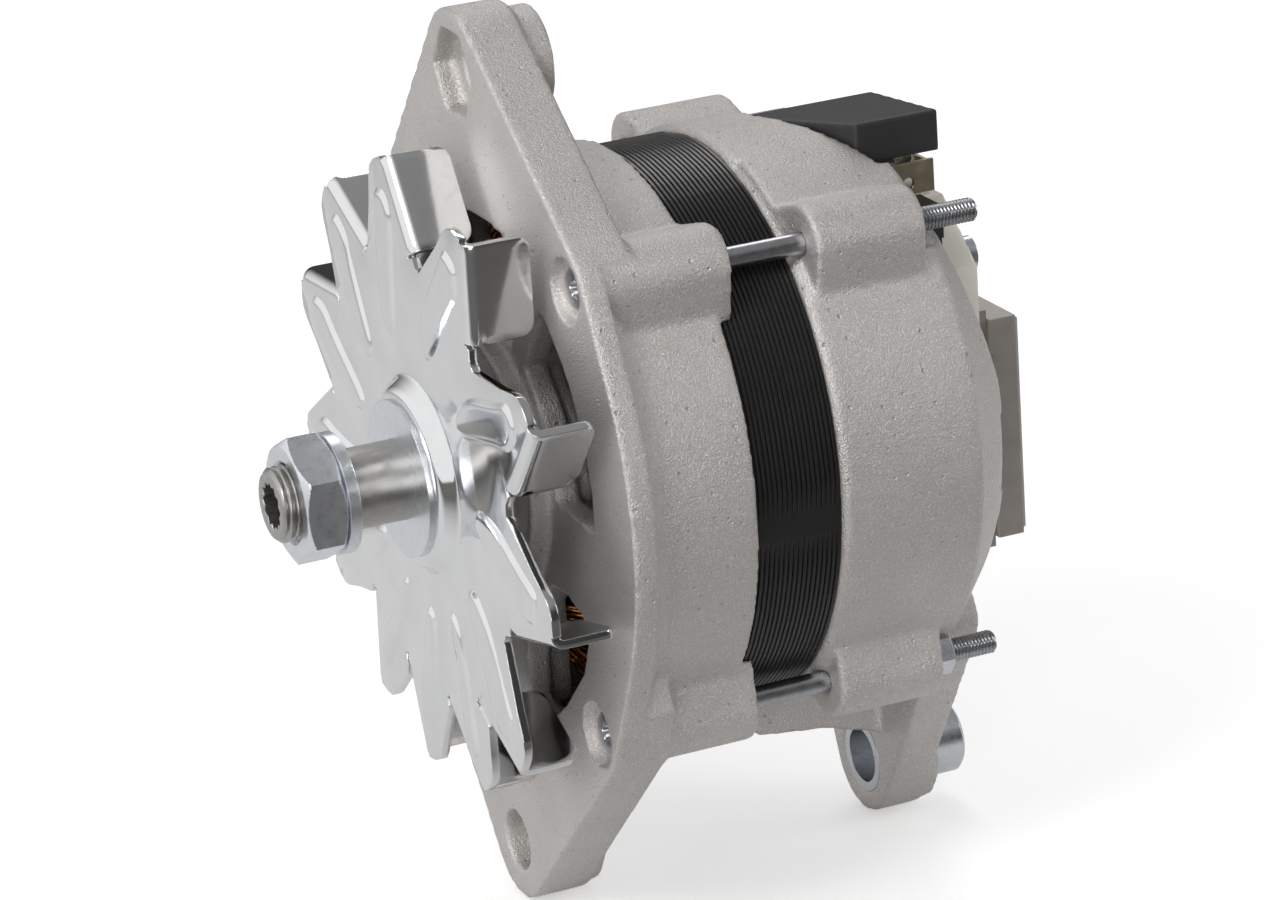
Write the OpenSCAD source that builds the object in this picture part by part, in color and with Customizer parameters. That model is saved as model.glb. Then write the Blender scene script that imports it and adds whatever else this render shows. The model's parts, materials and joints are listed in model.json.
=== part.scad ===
// Vehicle alternator with open pulley seat: two cast brackets, stator, claw pole rotor,
// stamped cooling fan, slip rings with sprung brushes, rectifier, terminals and regulator.
// The shaft lies on the Y axis, y = 0 is the front face of the drive end bracket, Z is up.

/* [Shaft and pulley seat] */
// Diameter of the ground journal under the pulley, the fan and the front bearing
journal_d = 17; // [16.6:0.1:17.4]
// Diameter of the threaded front end
thread_d = 16; // [15:0.1:16]
// Length of shaft in front of the bracket face
shaft_front = 50.5; // [49:0.5:58]
// Width of the pulley nut across its flats
nut_af = 24; // [22:0.5:27]

/* [Cooling fan] */
// Diameter over the tips of the fan blades
fan_d = 134.6; // [132:0.2:135]
// Thickness of the sheet of the fan
fan_sheet = 1.8; // [1.4:0.1:2.2]
// Depth of the fan from the front of the sheet to the ends of the blades
fan_depth = 14.1; // [12:0.1:15]

/* [Drive end bracket] */
// Diameter of the round part of the front face
face_d = 136; // [134:0.5:140]
// Thickness of the front flange at its edge
face_t = 5.4; // [5:0.1:7]
// Outside diameter of the bracket skirts
skirt_d = 124; // [123.4:0.1:126]
// Diameter of the bolt hole in the top ear
ear_hole_d = 10.5; // [9:0.1:11.5]
// Width across the flats of the nut pocket in the top ear
pocket_af = 17; // [15:0.1:18]
// Diameter of the pivot hole in the bottom ear
pivot_d = 13; // [11:0.1:14]
// Thickness of the bottom ear
pivot_ear_t = 15.3; // [13:0.1:17]

/* [Stator] */
// Outside diameter of the lamination stack
stator_d = 120.4; // [119:0.1:120.8]
// Length of the stack that shows between the brackets
stack_show = 19.5; // [18:0.1:22]
// Bore diameter of the stack
stator_bore = 95; // [94.6:0.1:96]
// Radial air gap between rotor and stator
air_gap = 0.5; // [0.4:0.05:0.8]

/* [Slip ring end bracket] */
// Length of the bracket from its front edge to its rear face
rear_len = 43.5; // [43:0.1:46]
// Outside diameter of the steel bush in the rear ear
bush_d = 16.2; // [15:0.1:17]
// Bore diameter of the steel bush
bush_bore = 12.2; // [11:0.1:13]
// Length of the steel bush
bush_len = 21.8; // [20:0.1:24]

/* [Through bolts] */
// Thread diameter of the through bolts
bolt_d = 5; // [4.6:0.1:5.2]
// Distance between the bolt axes across the machine
bolt_x = 84.6; // [84.4:0.1:86]
// Distance between the bolt axes up the machine
bolt_z = 95; // [94.8:0.1:96]
// Length of bolt thread that stands out behind the bosses
stud_out = 14.7; // [12:0.1:17]

/* [Brush gear] */
// Outside diameter of the slip rings
ring_d = 16.4; // [15.6:0.1:17]
// Free length of each brush
brush_len = 17; // [14:0.5:18]
// Travel of each brush against its spring
brush_travel = 5; // [3:0.5:5]

/* [Hidden] */
$fn = 64;
// clearances
run_gap = 0.05;
slot_gap = 0.1;

// positions along the shaft
y_rear_edge = 30 + stack_show;
y_front_edge = 30;
seat_len = 4;
y_mid = y_front_edge + stack_show / 2;
y_tail = y_rear_edge + rear_len;
wall_t = 5;
y_wall = y_tail - wall_t;
skirt_r = skirt_d / 2;
skirt_wall = 4;
stator_r = stator_d / 2;
seat_r = stator_r - 2.6;
journal_r = journal_d / 2;
thread_r = thread_d / 2;

// fan and pulley seat
y_fan = -17.5;
y_hub = -21;
washer_t = 1.4;
washer_r = 16.65;
hub_r = 17.6;
lock_t = 2.5;
lock_r = 12.8;
nut_t = 9;
y_lock = -35.5;
fan_tips = [22.4, 59, 95, 126, 154.4, 184, 210.6, 237.3, 260.1, 286.7, 307.3, 344.7];
tab_len = 21;
tab_round = 2.4;

// bearings
front_brg_r = 20;
front_brg_y = -3;
front_brg_w = 12;
rear_brg_r = 17.5;
rear_brg_y = y_tail - 21;
rear_brg_w = 11;
rear_bore_r = 7.5;

// bracket
bolt_r = bolt_d / 2;
shank_r = bolt_r - 0.275;
boss_r = 8;
bolts = [[bolt_x / 2, bolt_z / 2], [-bolt_x / 2, bolt_z / 2],
         [-bolt_x / 2, -bolt_z / 2], [bolt_x / 2, -bolt_z / 2]];
top_ear = [-8.4, 81.1];
top_ear_r = 13.4;
low_ear = [-5.9, -88.9];
low_ear_r = 12.9;
face_r = face_d / 2;
cbore_r = 6.55;
cbore_t = 2.5;
head_r = 4.45;
head_lift = 0.5;
cone_t = 2.1;
web_t = 12.4;
hub_out = 28;
y_boss_hi = y_tail - 16.2;
y_boss_lo = y_tail - 17;
y_nut_top = y_boss_lo + 4.7;
y_boss = [y_boss_hi, y_boss_hi, y_boss_lo, y_boss_lo];
spot_r = 5.3;
retainer_t = 2;

// stator and rotor
slot_n = 36;
bore_r = stator_bore / 2;
rotor_r = bore_r - air_gap;
slot_r = 55;
slot_w = 4.4;
coil_in = bore_r + 0.9;
coil_out = seat_r - 0.8;
y_coil_front = 14;
y_coil_rear = y_rear_edge + 14;
claw_half = 20;
claw_disc = 11;
claw_n = 6;
shaft_r = 10;
core_r = 25.8;
bobbin_r = 37.2;

// rear end
y_plus = y_tail - 15;
sink_t = 2.5;
tail_len = 7;
y_plate = y_tail + tail_len;
plate_t = 2.6;
box_t = 7.4;
bay_z = 44;
holder_at = [[19, 30], [-16, -40]];
plate_at = [[-20, 12], [-20, -27]];
stud_x = 10;
stud_z = 51.6;
ring_r = ring_d / 2;
sleeve_r = 7;
y_ring = [y_tail - 4.4, y_tail + 2];
ring_w = 4.6;
brush_w = 4.2;
brush_x = 6.4;
brush_tip = ring_r + run_gap;
y_tower = y_ring[0] - brush_w / 2 - 1.3;
spring_len = brush_travel + 3;
tower_end = brush_tip + brush_len + spring_len;

// colours
c_cast = [0.72, 0.71, 0.69];
c_zinc = [0.78, 0.80, 0.83];
c_steel = [0.62, 0.62, 0.61];
c_fan = [0.83, 0.84, 0.86];
c_black = [0.08, 0.08, 0.09];
c_copper = [0.72, 0.36, 0.16];
c_white = [0.88, 0.87, 0.80];
c_grey = [0.52, 0.53, 0.54];
c_brass = [0.71, 0.62, 0.40];
c_iron = [0.40, 0.40, 0.41];

// helpers

// a prism between y0 and y1 over a drawing in x and z
module slab(y0, y1) {
  translate([0, y1, 0]) rotate([90, 0, 0]) linear_extrude(y1 - y0) children();
}

// a round bar along Y
module rod(r, y0, y1) {
  translate([0, y0, 0]) rotate([-90, 0, 0]) cylinder(r = r, h = y1 - y0);
}

// a tapered round bar along Y
module taper(r0, r1, y0, y1) {
  translate([0, y0, 0]) rotate([-90, 0, 0]) cylinder(r1 = r0, r2 = r1, h = y1 - y0);
}

// a body turned about the shaft from points of radius and y
module turned(points) {
  rotate([-90, 0, 0]) rotate_extrude() polygon(points);
}

// move in x and z
module at(p) {
  translate([p[0], 0, p[1]]) children();
}

// turn about the shaft, from x towards z
module spin(a) {
  rotate([0, -a, 0]) children();
}

// a drawing in y and z pushed along x
module side(x0, x1) {
  translate([x0, 0, 0]) rotate([90, 0, 90]) linear_extrude(x1 - x0) children();
}

// a box from corner to corner
module block(a, b) {
  translate(a) cube(b - a);
}

function pol(r, a) = [r * cos(a), r * sin(a)];

// direction in which a belt lies off circle a on its way to circle b
function lay(a, b) =
  let(d = [b[0] - a[0], b[1] - a[1]])
  atan2(d[1], d[0]) - acos((a[2] - b[2]) / norm(d));

// outline of a belt round circles given against the clock, each [x, z, radius]
function belt(c) = [for (i = [0 : len(c) - 1])
  let(q = c[i],
      from = lay(c[(i + len(c) - 1) % len(c)], q),
      turn = (lay(q, c[(i + 1) % len(c)]) - from + 720) % 360,
      n = ceil(turn / 4))
  for (k = [0 : n]) [q[0], q[1]] + pol(q[2], from + turn * k / n)];

// a prism with the outline of a belt round circles
module belt_slab(c, y0, y1) {
  slab(y0, y1) polygon(belt(c));
}

// a slice of a ring
module sector(r0, r1, a0, a1, y0, y1) {
  span = a1 - a0;
  reach = r1 / cos(span / 4) + 1;
  difference() {
    intersection() {
      slab(y0, y1) polygon([[0, 0], pol(reach, a0), pol(reach, a0 + span / 4),
        pol(reach, a0 + span / 2), pol(reach, a0 + span * 3 / 4), pol(reach, a1)]);
      rod(r1, y0 - 1, y1 + 1);
    }
    rod(r0, y0 - 2, y1 + 2);
  }
}

// a ring along Y
module tube(r0, r1, y0, y1) {
  difference() {
    rod(r1, y0, y1);
    rod(r0, y0 - 1, y1 + 1);
  }
}

// a six sided bar along Y with a chamfer on both ends
module hex_bar(af, y0, y1) {
  r = af / sqrt(3);
  c = r - af / 2;
  intersection() {
    slab(y0, y1) circle(r = r, $fn = 6);
    turned([[0, y0], [af / 2 - 0.2, y0], [r, y0 + c * 0.6], [r, y1 - c * 0.6],
      [af / 2 - 0.2, y1], [0, y1]]);
  }
}

// a star of n points
function star(n, r0, r1) = [for (i = [0 : 2 * n - 1])
  pol(i % 2 == 0 ? r1 : r0, i * 180 / n)];

// housing

face_belt = [[0, 0, face_r], [bolts[0][0], bolts[0][1], boss_r + 1],
  [top_ear[0], top_ear[1], top_ear_r], [bolts[1][0], bolts[1][1], boss_r + 1],
  [0, 0, face_r], [bolts[2][0], bolts[2][1], boss_r + 1],
  [low_ear[0], low_ear[1], low_ear_r], [bolts[3][0], bolts[3][1], boss_r + 1]];
drop = [[24.8, -20.5], [32.3, -20.7], [39.4, -22.8], [41, -27.7], [37.8, -35.4],
  [28.1, -45.3], [19.4, -51.7], [10.9, -54.5], [7.3, -51.5], [9, -33.5], [17.5, -28]];

module front_windows() {
  sector(hub_out + 2, 48.7, -2, 54, -1, face_t + 8);
  sector(hub_out + 2, 48.7, 126, 182, -1, face_t + 8);
  sector(hub_out + 2, 52.3, 66, 114, -1, face_t + 8);
  slab(-1, face_t + 8) polygon(drop);
  mirror([1, 0, 0]) slab(-1, face_t + 8) polygon(drop);
}

module ear_webs() {
  intersection() {
    belt_slab(face_belt, face_t - 1, web_t);
    slab(0, web_t + 1) polygon([2 * bolts[0], 4 * bolts[0], 4 * bolts[1], 2 * bolts[1],
      bolts[1] / 2, 2 * bolts[2], 4 * bolts[2], 4 * bolts[3], 2 * bolts[3], bolts[0] / 2]);
  }
  at(top_ear) rod(11.4, face_t - 1, 18.4);
  web_lo = [[-27, -50, 8], [low_ear[0], low_ear[1], 12], [22, -50, 8]];
  belt_slab(web_lo, face_t - 1, pivot_ear_t);
}

// a bolt boss with sides that run out onto the skirt
module bolt_boss(b, y0, y1) {
  root = b * 0.66;
  belt_slab([[b[0], b[1], boss_r], [root[0], root[1], 19.5]], y0, y1);
}

module drive_end_bracket() {
  slope_y = face_t + 4.2;
  color(c_cast)
  difference() {
    union() {
      difference() {
        union() {
          belt_slab(face_belt, 0, face_t);
          turned([[0, face_t - 1], [face_r - 1, face_t - 1], [face_r - 1.6, face_t],
            [skirt_r, slope_y], [skirt_r, y_front_edge], [0, y_front_edge]]);
          for (b = bolts) bolt_boss(b, face_t - 1, y_front_edge + 3);
          ear_webs();
        }
        turned([[0, face_t], [54, face_t], [skirt_r - skirt_wall, face_t + 5],
          [skirt_r - skirt_wall, y_front_edge - seat_len], [seat_r + run_gap, y_front_edge - seat_len],
          [seat_r + run_gap, y_front_edge], [stator_r + run_gap, y_front_edge],
          [stator_r + run_gap, y_front_edge + 4], [0, y_front_edge + 4]]);
        front_windows();
      }
      rod(hub_out, -5, front_brg_y + front_brg_w);
      for (a = [60, 120, -15, 195]) spin(a) side(hub_out - 1, 55)
        polygon([[face_t - 1, -3], [face_t - 1, 3], [face_t + 6, 2], [face_t + 6, -2]]);
      spin(-90) side(hub_out - 1, 55)
        polygon([[face_t - 1, -5], [face_t - 1, 5], [face_t + 6, 4], [face_t + 6, -4]]);
    }
    rod(front_brg_r, front_brg_y, y_front_edge);
    rod(front_brg_r - 2.5, -6, front_brg_y + 1);
    for (b = bolts) at(b) {
      rod(cbore_r, -1, cbore_t);
      taper(head_r, shank_r, cbore_t, cbore_t + cone_t);
      rod(bolt_r + 0.1, 0, y_front_edge + 5);
    }
    at(top_ear) rod(ear_hole_d / 2, -1, 20);
    at(top_ear) slab(-1, 4.8) circle(r = pocket_af / sqrt(3), $fn = 6);
    at(low_ear) rod(pivot_d / 2, -1, pivot_ear_t + 1);
    for (a = [45 : 90 : 315]) at(pol(24, a)) rod(2, 1, y_front_edge);
  }
}

bay = [[-32, 66], [-3, 66], [26, 79], [26, 120], [-32, 120]];
bay_wall = [[-34.5, 63.6], [-3, 63.6], [28.5, 77], [28.5, 120], [-34.5, 120]];

// everything in front of the sloped upper part of the rear wall, moved forward by d
module rear_cut(d) {
  slant = [[40, -70], [y_tail - d, -70], [y_tail - d, 12], [y_tail - d - 15.1, 68],
    [40, 68]];
  side(-75, 75) polygon(slant);
}

module rear_shell() {
  intersection() {
    turned([[0, y_rear_edge], [skirt_r - 1.4, y_rear_edge], [skirt_r - 0.4, y_rear_edge + 1],
      [skirt_r - 0.4, y_tail - 12], [52, y_tail - 2.6], [49, y_tail], [0, y_tail]]);
    rear_cut(0);
  }
}

module rear_cavity() {
  intersection() {
    turned([[0, y_rear_edge - 1], [seat_r + run_gap, y_rear_edge - 1],
      [seat_r + run_gap, y_rear_edge + seat_len], [skirt_r - skirt_wall - 0.4, y_rear_edge + seat_len],
      [skirt_r - skirt_wall - 0.4, y_tail - 14], [49, y_wall], [0, y_wall]]);
    rear_cut(wall_t);
  }
}

module rear_foot() {
  web = [[-28, -46, 8], [low_ear[0], low_ear[1], 12.5], [26, -46, 8]];
  belt_slab(web, y_tail - 10, y_tail);
  at(low_ear) rod(12, y_tail - 9, y_tail + 3);
  side(-17, 5) polygon([[y_rear_edge + 0.5, -56], [y_rear_edge + 0.5, -67.6],
    [y_rear_edge + 4.1, -73.8], [y_tail - 23, -75.8], [y_tail - 9, -80], [y_tail - 9, -56]]);
}

module slip_ring_end_bracket() {
  color(c_cast)
  difference() {
    union() {
      difference() {
        union() {
          rear_shell();
          for (i = [0 : 3]) bolt_boss(bolts[i], y_rear_edge + 2.5, y_boss[i]);
          rear_foot();
        }
        rear_cavity();
        turned([[stator_r + 3, y_rear_edge - 1], [stator_r + 3, y_rear_edge],
          [stator_r - 1, y_rear_edge], [stator_r - 1, y_rear_edge - 1]]);
      }
      intersection() {
        rear_shell();
        translate([0, 0, 41]) linear_extrude(40) polygon(bay_wall);
      }
      rod(22, rear_brg_y - 2, y_wall + 1);
    }
    translate([0, 0, bay_z]) linear_extrude(40) polygon(bay);
    block([stud_x - 5.2, y_plus - 0.2, 35], [stud_x + 5.2, y_plus + sink_t + 0.2, 60]);
    rod(rear_brg_r, rear_brg_y, rear_brg_y + rear_brg_w);
    rod(rear_brg_r, rear_brg_y - 3, rear_brg_y + 1);
    rod(14, rear_brg_y, y_tail + 1);
    rod(20, y_tail - 7, y_tail + 1);
    block([-8.5, y_tower - slot_gap, -tower_end - 3.5], [8.5, y_tail + 1, 0]);
    for (i = [0 : 3]) at(bolts[i]) {
      rod(shank_r + run_gap, y_rear_edge, y_boss[i] + 1);
      rod(spot_r, y_boss[i], y_tail + 1);
    }
    at(low_ear) rod(bush_d / 2, y_tail - 11, y_tail + 4);
    sector(stator_r - 1, 70, 46, 75, y_rear_edge - 1, y_rear_edge + 2);
    for (a = [-40, 200, 225]) sector(36, 50, a, a + 18, y_wall - 6, y_tail + 1);
    sector(36, 50, -14, 6, y_wall - 6, y_tail + 1);
    block([21.9, y_tail - 13, 35.9], [31.1, y_tail, 46.1]);
    at(holder_at[0]) rod(2, y_wall - 4, y_tail + 1);
    at(holder_at[1]) rod(2, y_wall + 0.5, y_tail + 1);
  }
}

module stator_core() {
  color(c_black)
  difference() {
    turned([[bore_r, y_front_edge - seat_len], [seat_r, y_front_edge - seat_len],
      [seat_r, y_front_edge], [stator_r, y_front_edge], [stator_r, y_rear_edge],
      [seat_r, y_rear_edge], [seat_r, y_rear_edge + seat_len],
      [bore_r, y_rear_edge + seat_len]]);
    for (i = [0 : slot_n - 1]) spin(i * 360 / slot_n)
      block([bore_r - 1, 0, -slot_w / 2], [slot_r, 90, slot_w / 2]);
  }
}

module coil_ring(y0, y1) {
  turned([[coil_in + 1, y0], [coil_out - 2, y0], [coil_out, y0 + 2], [coil_out, y1 - 1],
    [coil_out - 1, y1], [coil_in, y1], [coil_in, y0 + 1]]);
}

module stator_winding() {
  color(c_copper) {
    coil_ring(y_coil_front, y_front_edge - seat_len);
    translate([0, y_rear_edge + seat_len + y_coil_rear, 0]) mirror([0, 1, 0])
      coil_ring(y_rear_edge + seat_len, y_coil_rear);
    for (i = [0 : slot_n - 1]) spin(i * 360 / slot_n)
      block([coil_in, y_front_edge - seat_len - 1, slot_gap - slot_w / 2],
        [slot_r, y_rear_edge + seat_len + 1, slot_w / 2 - slot_gap]);
  }
}

plus_at = [215, 270, 325];
minus_at = [190, 242, 298, 350];

module phase_leads() {
  color(c_copper)
  for (a = plus_at) at(pol(50.5, a)) rod(0.9, y_coil_rear, y_plus - 4);
}

// bearing rings and rolling parts, drawn from y = 0

module race_outer(r, pitch, ball, w) {
  difference() {
    tube(pitch + ball * 0.45, r, 0, w);
    translate([0, w / 2, 0]) rotate([-90, 0, 0]) rotate_extrude()
      translate([pitch, 0]) circle(r = ball + run_gap);
  }
}

module race_inner(r, pitch, ball, w) {
  difference() {
    tube(r, pitch - ball * 0.45, 0, w);
    translate([0, w / 2, 0]) rotate([-90, 0, 0]) rotate_extrude()
      translate([pitch, 0]) circle(r = ball + run_gap);
  }
}

module ball_set(pitch, ball, n, w) {
  for (i = [0 : n - 1]) at(pol(pitch, i * 360 / n)) translate([0, w / 2, 0])
    sphere(r = ball);
}

module ball_cage(pitch, ball, n, w) {
  difference() {
    tube(pitch - ball * 0.3, pitch + ball * 0.3, w / 2 - ball - 0.9, w / 2 + ball + 0.9);
    for (i = [0 : n - 1]) spin(i * 360 / n) translate([pitch - ball, w / 2, 0])
      rotate([0, 90, 0]) cylinder(r = ball + run_gap, h = ball * 2);
  }
}

module seal_pair(r0, r1, w) {
  tube(r0 + run_gap, r1, 0.4, 1.1);
  tube(r0 + run_gap, r1, w - 1.1, w - 0.4);
}

front_pitch = (journal_r + front_brg_r) / 2;
front_ball = 3.375;
rear_pitch = (rear_bore_r + rear_brg_r) / 2;
rear_ball = 2.975;
ball_n = 8;
front_in = front_pitch - front_ball * 0.45;
rear_in = rear_pitch - rear_ball * 0.45;

module front_bearing_outer() {
  color(c_steel) translate([0, front_brg_y, 0])
    race_outer(front_brg_r, front_pitch, front_ball, front_brg_w);
}

module front_bearing_seals() {
  color(c_black) translate([0, front_brg_y, 0])
    seal_pair(front_in, front_pitch + front_ball * 0.45, front_brg_w);
}

module front_bearing_inner() {
  color(c_steel) translate([0, front_brg_y, 0])
    race_inner(journal_r, front_pitch, front_ball, front_brg_w);
}

module front_bearing_balls() {
  color(c_steel) translate([0, front_brg_y, 0])
    ball_set(front_pitch, front_ball, ball_n, front_brg_w);
}

module front_bearing_cage() {
  color(c_brass) translate([0, front_brg_y, 0])
    ball_cage(front_pitch, front_ball, ball_n, front_brg_w);
}

module rear_bearing_outer() {
  color(c_steel) translate([0, rear_brg_y, 0])
    race_outer(rear_brg_r, rear_pitch, rear_ball, rear_brg_w);
}

module rear_bearing_seals() {
  color(c_black) translate([0, rear_brg_y, 0])
    seal_pair(rear_in, rear_pitch + rear_ball * 0.45, rear_brg_w);
}

module rear_bearing_inner() {
  color(c_steel) translate([0, rear_brg_y, 0])
    race_inner(rear_bore_r, rear_pitch, rear_ball, rear_brg_w);
}

module rear_bearing_balls() {
  color(c_steel) translate([0, rear_brg_y, 0])
    ball_set(rear_pitch, rear_ball, ball_n, rear_brg_w);
}

module rear_bearing_cage() {
  color(c_brass) translate([0, rear_brg_y, 0])
    ball_cage(rear_pitch, rear_ball, ball_n, rear_brg_w);
}

module bearing_retainer() {
  y0 = front_brg_y + front_brg_w;
  color(c_zinc)
  difference() {
    rod(hub_out - 1.2, y0, y0 + retainer_t);
    rod(front_brg_r - 3.5, y0 - 1, y0 + retainer_t + 1);
    for (a = [45 : 90 : 315]) at(pol(24, a)) rod(2, y0 - 1, y0 + retainer_t + 1);
  }
}

module retainer_screws() {
  y0 = front_brg_y + front_brg_w;
  color(c_zinc)
  for (a = [45 : 90 : 315]) at(pol(24, a)) {
    difference() {
      rod(3.2, y0 + retainer_t, y0 + retainer_t + 2.2);
      slab(y0 + retainer_t + 1, y0 + retainer_t + 3) square([0.8, 5], center = true);
      slab(y0 + retainer_t + 1, y0 + retainer_t + 3) square([5, 0.8], center = true);
    }
    rod(2, 1.4, y0 + retainer_t);
  }
}

module through_bolts() {
  color(c_zinc)
  for (i = [0 : 3]) at(bolts[i]) {
    y_end = y_boss_hi + stud_out;
    difference() {
      union() {
        taper(head_r - 0.4, head_r, cbore_t - head_lift, cbore_t);
        taper(head_r, shank_r, cbore_t, cbore_t + cone_t);
        rod(shank_r, cbore_t + cone_t, y_nut_top);
        rod(bolt_r, y_nut_top, y_end - 0.8);
        taper(bolt_r, bolt_r - 0.8, y_end - 0.8, y_end);
      }
      slab(0, cbore_t + 1.4) polygon(star(6, 1.3, 2.1));
    }
  }
}

module stud_nut() {
  color(c_zinc) at(bolts[3])
  difference() {
    hex_bar(8, y_boss_lo, y_nut_top);
    rod(shank_r + run_gap, y_boss_lo - 1, y_nut_top + 1);
  }
}

module rear_mount_bush() {
  y0 = y_tail - 9.8;
  color(c_zinc) at(low_ear)
  difference() {
    union() {
      rod(bush_d / 2, y0, y0 + bush_len - 0.8);
      taper(bush_d / 2, bush_d / 2 - 0.8, y0 + bush_len - 0.8, y0 + bush_len);
    }
    rod(bush_bore / 2, y0 - 1, y0 + bush_len + 1);
  }
}

// rectifier

module sink(y0, r_low, r_top) {
  difference() {
    union() {
      intersection() {
        rod(r_low, y0, y0 + sink_t);
        block([-60, y0, -60], [60, y0 + sink_t, 8]);
      }
      rod(r_top, y0, y0 + sink_t);
    }
    rod(24, y0 - 1, y0 + sink_t + 1);
  }
}

module heat_sink_plus() {
  color(c_grey) {
    difference() {
      sink(y_plus, 53, 36);
      for (a = plus_at) at(pol(46, a)) rod(6.4, y_plus - 1, y_plus + 4);
    }
    difference() {
      block([stud_x - 5, y_plus, 30], [stud_x + 5, y_plus + sink_t, stud_z + 6]);
      at([stud_x, stud_z]) rod(3, y_plus - 1, y_plus + 4);
    }
  }
}

module heat_sink_minus() {
  color(c_grey)
  difference() {
    sink(y_wall - sink_t, 48.4, 24);
    for (a = minus_at) at(pol(41.6, a)) rod(6.4, y_wall - 4, y_wall + 1);
    block([-7, y_wall - 4, -tower_end - 3], [7, y_wall + 1, 0]);
  }
}

module diodes_plus() {
  color(c_zinc)
  for (a = plus_at) at(pol(46, a)) rod(6.4, y_plus - 4, y_plus + sink_t);
}

module diodes_minus() {
  color(c_zinc)
  for (a = minus_at) at(pol(41.6, a)) rod(6.4, y_wall - 4.4, y_wall);
}

module sink_insulators() {
  color(c_white)
  for (a = [175, 228, 312, 365]) at(pol(32, a)) rod(3.5, y_plus + sink_t, y_wall - sink_t);
}

// terminals

module terminal_stud() {
  color(c_zinc) at([stud_x, stud_z]) rod(3, y_plus, y_plus + 15);
}

module terminal_washer() {
  y0 = y_plus + sink_t + 0.8;
  color(c_zinc) at([stud_x, stud_z]) tube(3, 6, y0, y0 + 1.2);
}

module toothed_washer() {
  y0 = y_plus + sink_t + 2;
  color(c_zinc) at([stud_x, stud_z])
  difference() {
    slab(y0, y0 + 0.8) polygon(star(14, 4.8, 5.8));
    rod(3, y0 - 1, y0 + 2);
  }
}

module terminal_nut() {
  y0 = y_plus + sink_t + 2.8;
  color(c_zinc) at([stud_x, stud_z])
  difference() {
    hex_bar(10, y0, y0 + 5);
    rod(3, y0 - 1, y0 + 6);
  }
}

module terminal_tab() {
  y0 = y_plus + sink_t;
  color(c_brass)
  difference() {
    union() {
      block([stud_x - 6, y0, bay_z + 1.6], [17.5, y0 + 0.8, stud_z + 5]);
      block([stud_x, y0, bay_z + 1.6], [20, y0 + 0.8, 52.5]);
      block([19.2, y0, bay_z + 1.6], [20, y0 + 14, 52.5]);
    }
    at([stud_x, stud_z]) rod(3, y0 - 1, y0 + 2);
    translate([18, y0 + 8, 48]) rotate([0, 90, 0]) cylinder(r = 1.25, h = 4);
  }
}

module terminal_insulator() {
  color(c_white)
  difference() {
    block([-12, 67, bay_z], [17.5, y_tail + 2, bay_z + 1.5]);
    translate([0, 0, bay_z - 1]) linear_extrude(4)
      polygon([[-6, 60], [-3.2, 67], [18, 76.5], [18, 60]]);
    block([stud_x - 5.2, y_plus - 0.2, bay_z - 1], [stud_x + 5.2, y_plus + sink_t + 0.2, bay_z + 2]);
  }
}

module sense_tab() {
  color(c_brass) block([12, y_tail + 0.4, bay_z + 1.5], [18, y_tail + 1.2, bay_z + 8]);
}

module terminal_cover() {
  z0 = bay_z + 1.5;
  top = [[-10, z0], [-10, 60], [20, 62.8], [20, 54], [18.2, 54], [18.2, 60.6], [-8.2, 58.2],
    [-8.2, z0]];
  color(c_black)
  difference() {
    union() {
      slab(67, y_tail + 3) polygon(top);
      slab(67, 81.4) polygon([[-10, z0], [-10, 60], [20, 62.8], [20, 54], [-3.2, 54], [-3.2, z0]]);
    }
    translate([0, 0, bay_z]) linear_extrude(30)
      polygon([[-40, 50], [40, 50], [40, 85.8], [26, 79.5], [-2.8, 66.5], [-40, 66.5]]);
    translate([0, 0, bay_z]) linear_extrude(14)
      polygon([[-8.2, 68.7], [-3.4, 68.7], [18.2, 78.4], [18.2, 90], [-8.2, 90]]);
  }
}

module connector_block() {
  color(c_black) {
    block([22, y_tail - 13, 36], [31, y_tail - 3, 46]);
    block([24, y_tail - 3, 38], [29, y_tail - 1.5, 44]);
  }
}

// regulator and brush gear

module brush_holder() {
  flange = [[-27, 32], [-15, 42], [13, 42], [27, 30], [27, -30], [16, -47], [-16, -47],
    [-27, -32]];
  color(c_white)
  difference() {
    union() {
      slab(y_tail, y_plate) polygon(flange);
      block([-6, y_tower, -tower_end - 2], [6, y_plate, -ring_r - 1.6]);
    }
    rod(12, y_tail - 1, y_plate - 1.2);
    for (y = y_ring) block([-brush_x / 2 - slot_gap, y - brush_w / 2 - slot_gap, -tower_end],
      [brush_x / 2 + slot_gap, y + brush_w / 2 + slot_gap, 0]);
    for (p = holder_at) at(p) rod(2, y_tail - 1, y_plate + 1);
    for (p = plate_at) at(p) rod(1.25, y_plate - 5, y_plate + 1);
  }
}

module regulator_plate() {
  color(c_grey)
  difference() {
    slab(y_plate, y_plate + plate_t) polygon([[-24, 19], [25, 19], [25, -34], [-24, -34]]);
    for (p = plate_at) at(p) rod(1.25, y_plate - 1, y_plate + plate_t + 1);
  }
}

module regulator_body() {
  y0 = y_plate + plate_t;
  color(c_grey) {
    slab(y0, y0 + box_t - 1) polygon([[-16, 17], [26, 17], [26, -32], [-16, -32]]);
    slab(y0 + box_t - 1, y0 + box_t) polygon([[-15, 16], [25, 16], [25, -31], [-15, -31]]);
  }
}

// a round head with a six point socket on a plain shank
module socket_screw(r, head, y0, y1) {
  color(c_zinc) {
    difference() {
      rod(head, y1, y1 + r * 1.3);
      slab(y1 + r * 0.6, y1 + r * 2) polygon(star(6, r * 0.6, r * 0.95));
    }
    rod(r, y0, y1);
  }
}

module holder_screws() {
  for (p = holder_at) at(p) socket_screw(2, 3.8, y_wall + 0.6, y_plate);
}

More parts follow.
